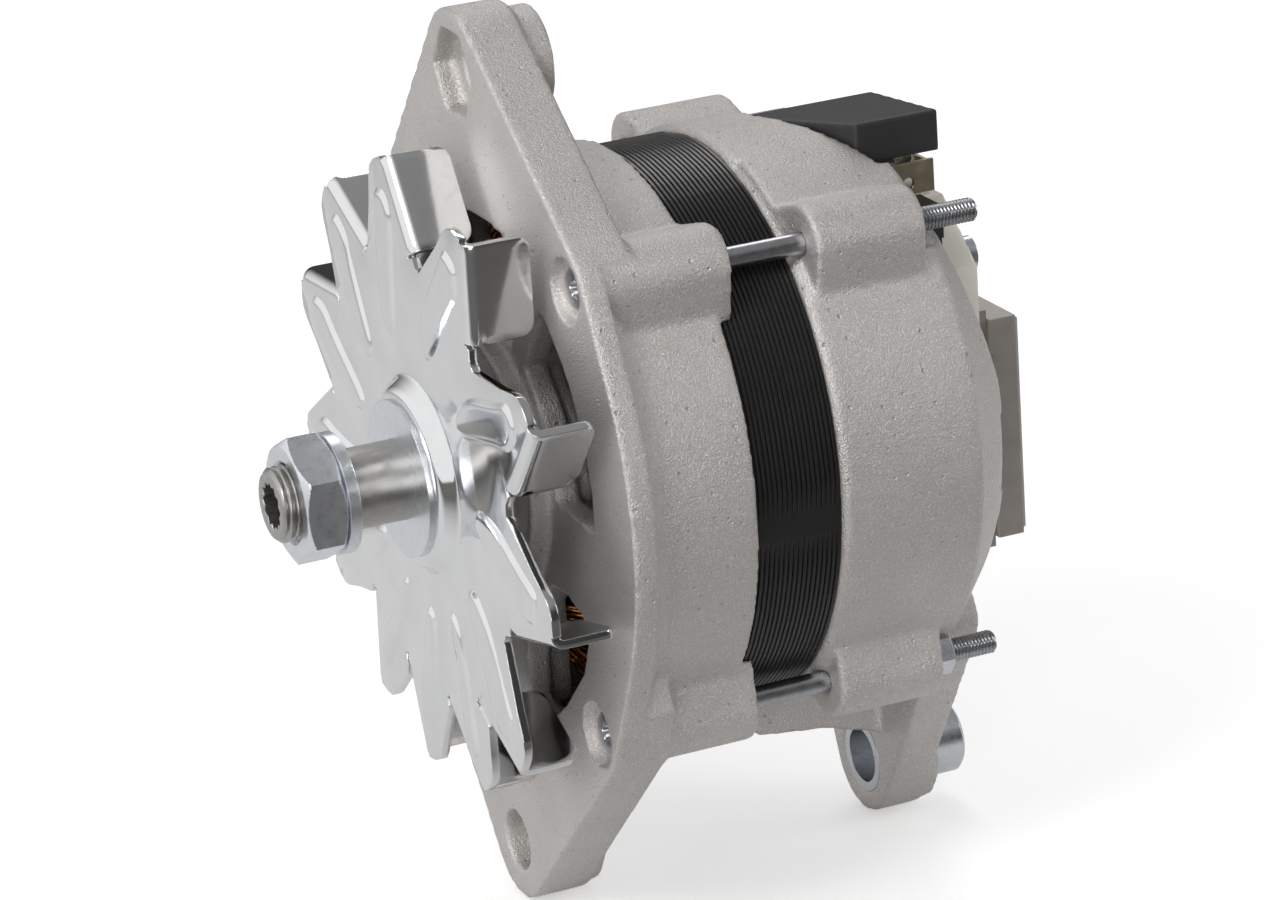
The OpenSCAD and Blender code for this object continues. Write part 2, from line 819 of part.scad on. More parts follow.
module regulator_screws() {
  for (p = plate_at) at(p) socket_screw(1.25, 2.4, y_plate - 4.6, y_plate + plate_t);
}

module brush(y) {
  color([0.25, 0.22, 0.21])
  difference() {
    block([-brush_x / 2, y - brush_w / 2, -brush_tip - brush_len],
      [brush_x / 2, y + brush_w / 2, -brush_tip * 0.94]);
    rod(brush_tip, y - 5, y + 5);
  }
}

module brush_a() {
  brush(y_ring[0]);
}

module brush_b() {
  brush(y_ring[1]);
}

// a spring drawn as coils that lean both ways and touch
module brush_spring(y) {
  wire = 0.3;
  coil_r = 1.5;
  coils = 6;
  rise = (spring_len - 2 * wire) / (2 * coils);
  lean = asin(rise / (2 * coil_r) * 0.92);
  color(c_zinc) translate([0, y, -tower_end + wire]) {
    for (i = [0 : 2 * coils - 1]) translate([0, 0, (i + 0.5) * rise])
      rotate([0, i % 2 == 0 ? lean : -lean, 0]) coil_turn(coil_r, wire);
    coil_turn(coil_r, wire);
    translate([0, 0, spring_len - 2 * wire]) coil_turn(coil_r, wire);
  }
}

module coil_turn(r, wire) {
  rotate_extrude() translate([r, 0]) circle(r = wire, $fn = 24);
}

module brush_spring_a() {
  brush_spring(y_ring[0]);
}

module brush_spring_b() {
  brush_spring(y_ring[1]);
}

// rotor

module rotor_shaft() {
  y0 = -shaft_front;
  y_claw_end = rear_brg_y;
  color(c_steel)
  difference() {
    turned([[0, y0], [thread_r - 1.2, y0], [thread_r, y0 + 1.2], [thread_r, y_lock],
      [journal_r - 0.3, y_lock], [journal_r, y_lock + 0.3],
      [journal_r, front_brg_y + front_brg_w], [shaft_r, front_brg_y + front_brg_w],
      [shaft_r, y_claw_end], [rear_bore_r, y_claw_end],
      [rear_bore_r, rear_brg_y + rear_brg_w + 1], [5, rear_brg_y + rear_brg_w + 1],
      [5, y_tail + 5.3], [0, y_tail + 5.3]]);
    slab(y0 - 1, y0 + 12) polygon(star(12, 4.3, 5.2));
  }
}

module claw_pole() {
  y0 = y_mid - claw_half;
  y1 = y0 + claw_disc;
  y2 = y_mid + claw_half - 3.5;
  difference() {
    intersection() {
      turned([[0, y0], [rotor_r - 4, y0], [rotor_r, y0 + 4], [rotor_r, y2], [rotor_r - 4, y2],
        [bobbin_r + 1, y1], [0, y1]]);
      union() {
        rod(30, y0, y1);
        for (i = [0 : claw_n - 1]) spin(i * 360 / claw_n) side(20, rotor_r + 2)
          polygon([[y0, -12], [y0 + 9, -12], [y2, -5], [y2, 5], [y0 + 9, 12], [y0, 12]]);
      }
    }
    rod(shaft_r, y0 - 1, y1 + 1);
  }
}

module front_claw_pole() {
  color(c_iron) claw_pole();
}

module rear_claw_pole() {
  color(c_iron) translate([0, 2 * y_mid, 0]) mirror([0, 1, 0]) spin(30) claw_pole();
}

y_core0 = y_mid - claw_half + claw_disc;
y_core1 = y_mid + claw_half - claw_disc;

module rotor_core() {
  color(c_iron) tube(shaft_r, core_r, y_core0, y_core1);
}

module coil_bobbin() {
  color(c_white)
  turned([[core_r, y_core0], [bobbin_r, y_core0], [bobbin_r, y_core0 + 1.2],
    [core_r + 1.2, y_core0 + 1.2], [core_r + 1.2, y_core1 - 1.2], [bobbin_r, y_core1 - 1.2],
    [bobbin_r, y_core1], [core_r, y_core1]]);
}

module field_coil() {
  color(c_copper) tube(core_r + 1.2, bobbin_r - 0.8, y_core0 + 1.2, y_core1 - 1.2);
}

module slip_ring_sleeve() {
  color(c_black) tube(5, sleeve_r, rear_brg_y + rear_brg_w + 1, y_tail + 5);
}

module slip_rings() {
  color(c_copper)
  for (y = y_ring) tube(sleeve_r, ring_r, y - ring_w / 2, y + ring_w / 2);
}

module fan_spacer() {
  color(c_zinc) tube(journal_r, 11.4, y_hub + fan_sheet, front_brg_y);
}

// direction of the bend line of a tab, seen from the tip of its finger
function bend_angle(r) =
  let(d = pol(50.3, -11) - pol(r, 0)) atan2(d[1], d[0]);

// crossing of the lines through p and q that run at the angles a and b
function meet(p, a, q, b) =
  let(d = q - p, k = (d[0] * sin(b) - d[1] * cos(b)) / sin(b - a)) p + pol(k, a);

// outline of the flat sheet: for each finger its tip, its far edge and the valley behind it
function fan_outline(r, tips) = [for (i = [0 : len(tips) - 1])
  let(a = tips[i],
      next = tips[(i + 1) % len(tips)],
      flank = pol(r - 10, a + 11.5),
      slope = pol(46, a + 21) - flank,
      valley = meet(flank, atan2(slope[1], slope[0]), pol(r, next), next + bend_angle(r)))
  each [pol(r, a), pol(r - 1.2, a + 5.5), pol(r - 2.2, a + 7.4), flank, valley]];

// the blade that is bent back from the finger
module fan_tab(r) {
  t = fan_sheet;
  at(pol(r, 0)) spin(bend_angle(r)) translate([run_gap, 0, -t - run_gap]) {
    slab(y_fan + t / 2, y_fan + fan_depth - tab_round) square([tab_len, t]);
    slab(y_fan + t, y_fan + fan_depth) translate([tab_round, 0])
      square([tab_len - 2 * tab_round, t]);
    for (x = [tab_round, tab_len - tab_round])
      translate([x, y_fan + fan_depth - tab_round, 0]) cylinder(r = tab_round, h = t);
  }
}

module fan_rib(r, d, y0, y1) {
  slab(y0, y1) polygon([pol(r - 7 - d, 1), pol(r - 7 - d, 8), pol(53 - d, 10),
    pol(41 - d, 17 - d), pol(31, 21 - d), pol(28 + d, 8), pol(47, 1 + d), pol(54, -2 + d)]);
}

module cooling_fan() {
  r = fan_d / 2;
  t = fan_sheet;
  color(c_fan)
  difference() {
    union() {
      slab(y_fan, y_fan + t) polygon(fan_outline(r, fan_tips));
      taper(hub_r, hub_r + 3, y_hub, y_fan + 0.6);
      for (a = fan_tips) spin(a) {
        fan_tab(r);
        fan_rib(r, 0, y_fan - 0.9, y_fan + 0.5);
      }
    }
    taper(hub_r - t, hub_r + 3 - t, y_hub + t, y_fan + 0.6 + t);
    for (a = fan_tips) spin(a) fan_rib(r, 1.2, y_fan + t - 0.9, y_fan + t + 1);
    rod(journal_r, y_hub - 1, y_fan + 4);
  }
}

module fan_washer() {
  color(c_zinc) tube(journal_r, washer_r, y_hub - washer_t, y_hub);
}

module lock_washer() {
  color(c_zinc)
  difference() {
    tube(thread_r, lock_r, y_lock - lock_t, y_lock);
    spin(115) side(5, 15) polygon([[y_lock - lock_t - 1, -1.6], [y_lock - lock_t - 1, -0.4],
      [y_lock + 1, 1.6], [y_lock + 1, 0.4]]);
  }
}

module pulley_nut() {
  y1 = y_lock - lock_t;
  color(c_zinc)
  difference() {
    spin(30) hex_bar(nut_af, y1 - nut_t, y1);
    rod(thread_r, y1 - nut_t - 1, y1 + 1);
  }
}

// which node is drawn
drive_end_bracket();
slip_ring_end_bracket();
stator_core();
stator_winding();
phase_leads();
front_bearing_outer();
front_bearing_seals();
bearing_retainer();
retainer_screws();
rear_bearing_outer();
rear_bearing_seals();
through_bolts();
stud_nut();
rear_mount_bush();
heat_sink_plus();
heat_sink_minus();
diodes_plus();
diodes_minus();
sink_insulators();
terminal_stud();
terminal_washer();
toothed_washer();
terminal_nut();
terminal_tab();
sense_tab();
terminal_insulator();
terminal_cover();
connector_block();
brush_holder();
regulator_plate();
regulator_body();
regulator_screws();
holder_screws();
brush_spring_a();
brush_spring_b();
brush_a();
brush_b();
rotor_shaft();
front_claw_pole();
rear_claw_pole();
rotor_core();
coil_bobbin();
field_coil();
slip_ring_sleeve();
slip_rings();
front_bearing_inner();
rear_bearing_inner();
fan_spacer();
cooling_fan();
fan_washer();
lock_washer();
pulley_nut();
front_bearing_cage();
front_bearing_balls();
rear_bearing_cage();
rear_bearing_balls();
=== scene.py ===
# %% [markdown]
# # A vehicle alternator, dressed for its portrait
# The solids of the alternator come in as a fixed frame, and nothing here moves or resizes
# them. The cells below put a camera and soft light round it, mix one finish for each metal and
# plastic, and then rebuild in mesh code the pieces whose charm lies in small forms: the
# stamped fan, the rough castings, the nut, the threads, the laminations and the copper.

# %% Load the frame
import bpy, bmesh, json, math
import numpy as np
from mathutils import Matrix, Vector, noise
from mathutils.geometry import delaunay_2d_cdt


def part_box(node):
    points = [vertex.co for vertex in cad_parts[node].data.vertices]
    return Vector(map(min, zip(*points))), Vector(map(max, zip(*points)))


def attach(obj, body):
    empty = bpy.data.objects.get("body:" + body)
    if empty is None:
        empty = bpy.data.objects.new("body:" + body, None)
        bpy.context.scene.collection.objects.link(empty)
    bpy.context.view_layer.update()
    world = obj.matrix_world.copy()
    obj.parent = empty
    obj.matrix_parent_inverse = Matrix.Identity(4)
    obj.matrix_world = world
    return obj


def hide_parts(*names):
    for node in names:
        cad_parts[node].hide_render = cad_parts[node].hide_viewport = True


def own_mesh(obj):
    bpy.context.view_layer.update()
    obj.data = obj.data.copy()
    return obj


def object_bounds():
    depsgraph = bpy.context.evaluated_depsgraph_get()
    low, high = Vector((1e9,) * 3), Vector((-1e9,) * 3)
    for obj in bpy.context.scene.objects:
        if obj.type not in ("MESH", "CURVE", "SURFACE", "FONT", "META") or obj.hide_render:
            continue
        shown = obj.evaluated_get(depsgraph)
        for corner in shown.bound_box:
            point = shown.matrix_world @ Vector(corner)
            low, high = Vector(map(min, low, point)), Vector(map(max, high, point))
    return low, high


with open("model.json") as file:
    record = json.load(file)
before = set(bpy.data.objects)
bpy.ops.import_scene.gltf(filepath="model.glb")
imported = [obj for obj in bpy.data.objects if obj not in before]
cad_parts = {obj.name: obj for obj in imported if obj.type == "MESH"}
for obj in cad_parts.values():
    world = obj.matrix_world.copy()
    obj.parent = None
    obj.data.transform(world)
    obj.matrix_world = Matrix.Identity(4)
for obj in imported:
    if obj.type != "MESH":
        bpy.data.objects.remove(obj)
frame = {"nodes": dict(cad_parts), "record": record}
nodes = frame["nodes"]
cad_low, cad_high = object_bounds()
MM = 0.001
print("nodes:", len(nodes), "box:", tuple(cad_low), tuple(cad_high))

# %% [markdown]
# ## The camera
# The photograph is taken with a long lens from the front, the right and a little above. The
# place and the direction were worked out from the shaft axis, the bolts and the round
# brackets. A long lens keeps the circles of the brackets nearly parallel, so its length
# matters as much as its place.

# %% Camera
SENSOR_MM = 36.0
IMAGE_WIDTH = 1280
FOCAL_PIXELS = 5000.0
camera_place = Vector((0.9104, -0.3639, 0.3446))
look = Vector((-0.8649, 0.3764, -0.3321)).normalized()
up = Vector((-0.2762, 0.1955, 0.9410))
right = look.cross(up).normalized()
up = right.cross(look).normalized()

camera_data = bpy.data.cameras.new("camera")
camera_data.sensor_width = SENSOR_MM
camera_data.lens = SENSOR_MM * FOCAL_PIXELS / IMAGE_WIDTH
camera_data.clip_end = 20.0
camera = bpy.data.objects.new("camera", camera_data)
turn = Matrix((right, up, -look)).transposed().to_4x4()
camera.matrix_world = Matrix.Translation(camera_place) @ turn
bpy.context.scene.collection.objects.link(camera)
bpy.context.scene.camera = camera
print("lens:", round(camera_data.lens, 1), "mm")

# %% [markdown]
# ## Writing shader maths as plain expressions
# A material is a small network. Written out node by node it is hard to read, so one class
# wraps a socket: `mask * 0.5 + 0.2` adds the Math nodes that it stands for, and `node` makes
# any other kind from its type, its settings and its inputs. Lengths are in millimetres, so a
# grain of 0.5 means the same on a big bracket and on a small screw.

# %% A socket that does sums
class Wire:
    """One output socket of a material, with the tree that it belongs to."""

    def __init__(self, tree, socket):
        self.tree, self.socket = tree, socket

    def math(self, operation, *values):
        return wire(self.tree, "ShaderNodeMath", {"operation": operation},
                    dict(enumerate(values)))

    def __add__(self, other): return self.math("ADD", self, other)
    def __radd__(self, other): return self.math("ADD", other, self)
    def __sub__(self, other): return self.math("SUBTRACT", self, other)
    def __rsub__(self, other): return self.math("SUBTRACT", other, self)
    def __mul__(self, other): return self.math("MULTIPLY", self, other)
    def __rmul__(self, other): return self.math("MULTIPLY", other, self)


def plug(tree, socket, value):
    """A socket gets either the output of another node or a constant."""
    if isinstance(value, Wire):
        tree.links.new(value.socket, socket)
    else:
        socket.default_value = value


def node(tree, kind, settings=None, inputs=None):
    """Any kind of node from its type, its settings and its inputs."""
    made = tree.nodes.new(kind)
    for name, value in (settings or {}).items():
        setattr(made, name, value)
    for name, value in (inputs or {}).items():
        plug(tree, made.inputs[name], value)
    return made


def wire(tree, kind, settings=None, inputs=None, output=0):
    return Wire(tree, node(tree, kind, settings, inputs).outputs[output])


def spread(tree, value, start, end, low=0.0, high=1.0, curve="SMOOTHSTEP"):
    """A value carried over from one range to another, and held beyond its ends."""
    return wire(tree, "ShaderNodeMapRange", {"interpolation_type": curve},
                {0: value, 1: start, 2: end, 3: low, 4: high})


def blend(tree, mask, first, second):
    """A mix of two colours by a mask."""
    return wire(tree, "ShaderNodeMix", {"data_type": "RGBA"}, {0: mask, 6: first, 7: second}, 2)


def rgb(r, g, b): return (r, g, b, 1.0)


def finish(name):
    """A fresh material: its tree, its shader and the place of a point in millimetres."""
    material = bpy.data.materials.new(name)
    material.use_nodes = True
    tree = material.node_tree
    shader = tree.nodes["Principled BSDF"]
    place = wire(tree, "ShaderNodeTexCoord", output=3)
    place = wire(tree, "ShaderNodeVectorMath", {"operation": "SCALE"}, {0: place, 3: 1000.0})
    return material, tree, shader, place


def speckle(tree, place, size, detail=3.0, rough=0.6):
    """Noise with features of a size in millimetres, from 0 to 1."""
    return wire(tree, "ShaderNodeTexNoise", None,
                {"Vector": place, "Scale": 1.0 / size, "Detail": detail, "Roughness": rough})


def bump(tree, height, distance_mm, strength=1.0, normal=None):
    """A bump of a height map whose full range is a distance in millimetres."""
    made = node(tree, "ShaderNodeBump", None, {"Strength": strength,
                "Distance": distance_mm * MM, "Height": height})
    if normal:
        plug(tree, made.inputs["Normal"], normal)
    return Wire(tree, made.outputs[0])


def soft_edges(tree, radius_mm):
    """Normals that round every edge by a radius, as casting and tumbling do."""
    return wire(tree, "ShaderNodeBevel", {"samples": 4}, {"Radius": radius_mm * MM})


print("shader helpers ready")

# %% [markdown]
# ## The paper
# The product stands on white paper. A stronger lamp would whiten the paper but also burn out
# the metal, so the paper has a plain pale colour, and a little light that only the camera
# sees lifts it to white while the shadow stays. In metal the paper's colour is painted dark on
# the right: a painted reflection that stands in for a black card which is not there.
# Photographers set such a card to give the bent sheet of a fan dark flanks.

# %% Paper
FLOOR_GAP, FLOOR_REACH = 0.0004, 3.0
PAPER_GLOW = 0.42

floor_mesh = bpy.data.meshes.new("paper")
floor_mesh.from_pydata([(x * FLOOR_REACH, y * FLOOR_REACH, cad_low[2] - FLOOR_GAP)
                        for x, y in ((-1, -1), (1, -1), (1, 1), (-1, 1))], [], [(0, 1, 2, 3)])
paper = bpy.data.objects.new("paper", floor_mesh)
bpy.context.scene.collection.objects.link(paper)

material, tree, shader, place = finish("white_paper")
across = wire(tree, "ShaderNodeSeparateXYZ", None, {0: wire(tree, "ShaderNodeNewGeometry")})
# painted reflection: only glossy rays see the paper painted dark from x = 0 to 0.2 m onwards
painted_dark_reflection = spread(tree, across, 0.0, 0.2) * wire(tree, "ShaderNodeLightPath", output=3)
to_camera = wire(tree, "ShaderNodeLightPath", output=0)
plug(tree, shader.inputs["Base Color"],
     blend(tree, painted_dark_reflection, rgb(0.86, 0.86, 0.86), rgb(0.10, 0.095, 0.09)))
plug(tree, shader.inputs["Roughness"], 0.9)
plug(tree, shader.inputs["Emission Color"],
     blend(tree, to_camera, rgb(0, 0, 0), rgb(PAPER_GLOW, PAPER_GLOW, PAPER_GLOW)))
plug(tree, shader.inputs["Emission Strength"], 1.0)
floor_mesh.materials.append(material)
print("paper at", round(cad_low[2] - FLOOR_GAP, 4), "m")

# %% [markdown]
# ## Sky and lamps
# The sky is white to the camera and dimmer as a light. In metal it is bright in front, a
# little bright above and dark behind, because a mirror shows only its surroundings: a room
# that is white all round would leave it without form. Four large soft lamps stand round the
# product. The key and the low lamp model the front, and two lamps behind draw its edges.

# %% Sky
ROOM_LIGHT, MIRROR_LIGHT, MIRROR_DARK = 0.42, 0.92, 0.045
world = bpy.data.worlds.new("room")
bpy.context.scene.world = world
world.use_nodes = True
sky = world.node_tree
background = sky.nodes["Background"]
rays = node(sky, "ShaderNodeLightPath")
camera_ray, glossy_ray = (Wire(sky, rays.outputs[k]) for k in ("Is Camera Ray", "Is Glossy Ray"))
facing = node(sky, "ShaderNodeSeparateXYZ", None, {0: wire(sky, "ShaderNodeTexCoord")})
front = spread(sky, Wire(sky, facing.outputs[1]), 0.12, -0.55)
above = spread(sky, Wire(sky, facing.outputs[2]), 0.35, 0.80, 0.0, 0.24)
mirrored = front.math("MAXIMUM", front, above) * MIRROR_LIGHT + MIRROR_DARK
unseen = glossy_ray * mirrored + (1.0 - glossy_ray) * ROOM_LIGHT
plug(sky, background.inputs["Color"], rgb(1.0, 1.0, 1.0))
plug(sky, background.inputs["Strength"], camera_ray + (1.0 - camera_ray) * unseen)
bpy.context.scene.view_settings.view_transform = "Standard"
print("sky:", ROOM_LIGHT, "as a light,", MIRROR_DARK, "to", MIRROR_LIGHT + MIRROR_DARK, "in metal")

# %% Lamps
# offset from the middle of the product in m, width in m and power in W
LAMPS = {"key_lamp": ((0.5, -0.9, 0.95), 0.5, 6.5), "side_lamp": ((0.6, 1.15, 0.5), 0.6, 3.6),
         "low_lamp": ((1.15, -0.75, 0.12), 0.6, 4.5), "back_lamp": ((-0.9, 0.4, 0.9), 0.6, 3.0)}
middle = (cad_low + cad_high) / 2
for name, (offset, size, watts) in LAMPS.items():
    data = bpy.data.lights.new(name, "AREA")
    data.size, data.energy = size, watts
    made = bpy.data.objects.new(name, data)
    made.location = middle + Vector(offset)
    made.rotation_euler = (middle - made.location).to_track_quat("-Z", "Y").to_euler()
    bpy.context.scene.collection.objects.link(made)
print("lamps:", ", ".join(LAMPS))

# %% [markdown]
# ## Cast aluminium
# The two brackets are die castings that were blasted with shot: a warm grey skin full of tiny
# dents that sparkle, a few pores and slow changes of grey. A photo texture would show
# seams and need unwrapping. Noise in space does neither: a fine one gives the dents to the
# bump and breaks up the gloss, cells leave pores where their centres lie, and a slow noise
# shifts the grey. A second fine noise also paints near-white glints into the colour, a painted
# highlight, and the pores are darkened in the colour as painted shade.

# %% Finish of the castings
def cast_finish():
    """Blasted aluminium: grain, sparkle and pores for the bump; clouds, painted glints and painted
    shade in the pores for the colour.
    """
    material, tree, shader, place = finish("cast_aluminium")
    grain = speckle(tree, place, 0.55, 2.0, 0.7)
    sparkle = speckle(tree, place, 0.28, 1.0, 0.5)
    clouds = speckle(tree, place, 22.0, 3.0, 0.55)
    pores = wire(tree, "ShaderNodeTexVoronoi", {"feature": "F1"},
                 {"Vector": place, "Scale": 0.32})
    # pores: a real dent in the bump, and painted shade that darkens the colour inside them
    pore_dent_and_shade = spread(tree, pores, 0.05, 0.16, 1.0, 0.0)
    # painted highlight: near-white glints in the base colour where the sparkle noise is high
    painted_glints = spread(tree, sparkle, 0.56, 0.72, curve="LINEAR")
    base = blend(tree, clouds, rgb(0.52, 0.495, 0.475), rgb(0.65, 0.625, 0.605))
    base = blend(tree, painted_glints * 0.8, base, rgb(0.95, 0.94, 0.93))
    base = blend(tree, pore_dent_and_shade * 0.35, base, rgb(0.22, 0.21, 0.20))
    plug(tree, shader.inputs["Base Color"], base)
    plug(tree, shader.inputs["Metallic"], 0.75)
    plug(tree, shader.inputs["Roughness"], 0.56 - grain * 0.18)
    height = grain * 0.7 + sparkle * 0.5 - pore_dent_and_shade * 0.6
    plug(tree, shader.inputs["Normal"], bump(tree, height, 0.38, 1.0, soft_edges(tree, 0.4)))
    return material


print("cast finish: grain of 0.55 mm, 0.38 mm of bump")

# %% [markdown]
# ## Plated and ground metals, and plastics
# One short function mixes every bright metal: a base colour, a mean gloss, and the size of the
# fine scratches that carry it. Zinc is bluish with cloudy patches, the ground journal is
# darker, and the fan is almost a mirror. Rolled threads get no rounded normals, because a
# rounding wider than the groove would blur them. A second function does the mouldings.

# %% Finish of metals and plastics
def metal_finish(name, low, high, gloss, scratch=0.25, waves=2.5, depth=0.01, edge=0.25):
    """Bare or plated metal: clouds between two tones, and scratches in gloss and bump."""
    material, tree, shader, place = finish(name)
    clouds = speckle(tree, place, waves, 3.0, 0.6)
    fine = speckle(tree, place, scratch, 2.0, 0.6)
    plug(tree, shader.inputs["Base Color"], blend(tree, clouds, low, high))
    plug(tree, shader.inputs["Metallic"], 1.0)
    plug(tree, shader.inputs["Roughness"], (clouds * 0.5 + fine * 0.5) * gloss + gloss * 0.5)
    soft = soft_edges(tree, edge) if edge else None
    plug(tree, shader.inputs["Normal"], bump(tree, fine, depth, 0.6, soft))
    return material


def plastic_finish(name, low, high, gloss, grain=0.5, depth=0.03, edge=0.5):
    """Moulded plastic: a faint grain, soft edges and a little dust in the colour."""
    material, tree, shader, place = finish(name)
    dust = speckle(tree, place, 9.0, 4.0, 0.6)
    skin = speckle(tree, place, grain, 2.0, 0.5)
    plug(tree, shader.inputs["Base Color"], blend(tree, dust, low, high))
    plug(tree, shader.inputs["Roughness"], gloss + skin * 0.15)
    plug(tree, shader.inputs["Normal"], bump(tree, skin, depth, 0.7, soft_edges(tree, edge)))
    return material


print("metal and plastic finishes ready")

# %% [markdown]
# ## Which finish goes where
# The record gives every solid a slot, such as zinc or cast. Two tones, a gloss and, where
# they differ from the usual, the sizes of scratches, clouds and grain make each finish.

# %% Finishes by slot
METALS = {
    "zinc": ("zinc_plate", (0.66, 0.69, 0.73), (0.84, 0.86, 0.89), 0.30, {}),
    "steel": ("ground_steel", (0.34, 0.33, 0.32), (0.52, 0.51, 0.49), 0.34, {"scratch": 0.2}),
    "fan": ("bright_sheet", (0.74, 0.745, 0.755), (0.86, 0.865, 0.87), 0.09,
            {"scratch": 0.6, "waves": 9.0, "depth": 0.004, "edge": 0.3}),
    "iron": ("forged_iron", (0.16, 0.16, 0.16), (0.27, 0.27, 0.27), 0.55,
             {"scratch": 0.5, "waves": 4.0, "depth": 0.05}),
    "brass": ("dull_brass", (0.46, 0.40, 0.28), (0.62, 0.55, 0.40), 0.42, {}),
    "copper": ("enamelled_copper", (0.50, 0.17, 0.06), (0.72, 0.30, 0.12), 0.26, {}),
    "grey_metal": ("grey_plate", (0.50, 0.465, 0.435), (0.60, 0.565, 0.53), 0.6,
                   {"scratch": 0.35, "waves": 3.0, "depth": 0.12})}
PLASTICS = {
    "black_plastic": ("black_moulding", (0.012, 0.012, 0.013), (0.03, 0.03, 0.031), 0.42, {}),
    "rubber": ("seal_rubber", (0.012, 0.012, 0.012), (0.03, 0.03, 0.03), 0.7, {}),
    "white_plastic": ("pale_moulding", (0.66, 0.64, 0.56), (0.76, 0.74, 0.66), 0.45, {}),
    "carbon": ("carbon", (0.02, 0.018, 0.017), (0.06, 0.05, 0.045), 0.5, {}),
    "stack": ("black_varnish", (0.008, 0.008, 0.008), (0.018, 0.017, 0.017), 0.24,
              {"grain": 1.2, "depth": 0.02, "edge": 0.1})}
slot_finish = {"cast": cast_finish()}
for mix, table in ((metal_finish, METALS), (plastic_finish, PLASTICS)):
    for slot, (name, low, high, gloss, more) in table.items():
        slot_finish[slot] = mix(name, rgb(*low), rgb(*high), gloss, **more)
rolled = metal_finish("rolled_thread", rgb(0.42, 0.43, 0.45), rgb(0.62, 0.63, 0.65), 0.30,
                      edge=0.0)
slot_of = {part["node"]: part["material_slot"] for part in frame["record"]["subparts"]}
for name, thing in nodes.items():
    thing.data.materials.clear()
    thing.data.materials.append(slot_finish[slot_of[name]])
print("finishes:", len(slot_finish))

# %% [markdown]
# ## Pieces in mesh code
# Every piece below is made from points and faces in millimetres. One helper turns them into
# an object: it welds the points, finds which way is out and shades smooth up to an angle. It
# also hangs the piece on the empty of the body that carries it and hides the solids that it
# stands for. Most forms are rows of points round the shaft's axis with a skin between them, as
# a lathe would cut.

# %% From points and faces to a piece
BODY_OF = {name: body for body, names in frame["record"]["behaviour"]["bodies"].items()
           for name in names}
WELD_MM = 0.002


def piece(name, points, faces, node_names, angle, look_of=None):
    """A mesh piece in place of CAD nodes, in the finish of the first of them."""
    mesh = bpy.data.meshes.new(name)
    mesh.from_pydata([Vector(p) * MM for p in points], [], faces)
    shape = bmesh.new()
    shape.from_mesh(mesh)
    bmesh.ops.remove_doubles(shape, verts=shape.verts, dist=WELD_MM * MM)
    bmesh.ops.recalc_face_normals(shape, faces=shape.faces)
    shape.to_mesh(mesh)
    shape.free()
    made = bpy.data.objects.new(name, mesh)
    bpy.context.scene.collection.objects.link(made)
    mesh.shade_smooth()
    mesh.set_sharp_from_angle(angle=math.radians(angle))
    first = node_names[0]
    mesh.materials.append(look_of or slot_finish[slot_of[first]])
    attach(made, BODY_OF[first])
    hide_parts(*node_names)
    print(name, len(mesh.polygons), "faces")
    return made


def polar(radius, degrees, y=0.0):
    """A point at a radius and an angle about the shaft, from +X towards +Z."""
    a = math.radians(degrees)
    return Vector((radius * math.cos(a), y, radius * math.sin(a)))


def skin(rows, closed=True):
    """Quads between rows of points of one length, each row a closed ring or an open strip."""
    count = len(rows[0])
    span = count if closed else count - 1
    points = [p for row in rows for p in row]
    faces = [(r * count + c, r * count + (c + 1) % count,
              (r + 1) * count + (c + 1) % count, (r + 1) * count + c)
             for r in range(len(rows) - 1) for c in range(span)]
    return points, faces


def ring(radius, y, count=72):
    """A ring of points; the radius may be a function of the angle in degrees."""
    angles = [360.0 * i / count for i in range(count)]
    return [polar(radius(a) if callable(radius) else radius, a, y) for a in angles]


def moved(points, x, z):
    """The points shifted sideways and up."""
    return [Vector(p) + Vector((x, 0.0, z)) for p in points]


def join(*groups):
    """Several groups of points and faces as one."""
    points, faces = [], []
    for more_points, more_faces in groups:
        first = len(points)
        points += more_points
        faces += [tuple(first + i for i in face) for face in more_faces]
    return points, faces


# %% [markdown]
# ## Edges of the plain solids
# The small solids of the frame keep their shape and only get rounded edges, because no edge
# on a real product is perfectly sharp and a rounded one catches light. Forged claws have
# edges of half a millimetre, a punched washer a quarter of that. A Bevel modifier leaves the
# mesh of the solid as it is and can be changed later.

# %% Rounded edges on the solids that stay
EDGES = {"regulator_plate": 0.25, "terminal_tab": 0.15, "sense_tab": 0.1, "connector_block": 0.4,
         "fan_washer": 0.3, "lock_washer": 0.35, "stud_nut": 0.12,
         "terminal_nut": 0.12, "terminal_washer": 0.15, "toothed_washer": 0.08,
         "rear_mount_bush": 0.25, "fan_spacer": 0.3, "holder_screws": 0.3,
         "regulator_screws": 0.2, "retainer_screws": 0.2, "bearing_retainer": 0.25,
         "front_claw_pole": 0.6, "rear_claw_pole": 0.6, "heat_sink_plus": 0.2,
         "heat_sink_minus": 0.2, "slip_rings": 0.15}


def bevel(thing, width_mm, segments=2, angle=32.0):
    """Rounds the edges of a thing that are sharper than an angle."""
    made = thing.modifiers.new("rounded edges", "BEVEL")
    made.width, made.segments = width_mm * MM, segments
    made.limit_method, made.angle_limit = "ANGLE", math.radians(angle)
    made.use_clamp_overlap = True
    made.harden_normals = False


for name, width in EDGES.items():
    bevel(nodes[name], width, 3 if width > 0.35 else 2)
print("solids with rounded edges:", len(EDGES))

# %% [markdown]
# ## Castings
# A die casting has no knife edges: metal has to flow and the die has to open. A Bevel would
# round the outer edges, but it stops where bosses, webs and windows meet, and it leaves inner
# corners sharp. So the solid is turned into an even skin of small facets, and a few rounds of
# smoothing pull every edge and every inner corner into a fillet, as foundry radii do. Then
# the facet count comes down where the skin is flat. Shallow dents of a few hundredths of a
# millimetre, coarser than the grain of the finish, keep the broad faces from looking
# machined. The moulded cover, holder, regulator and insulator are made the same way.

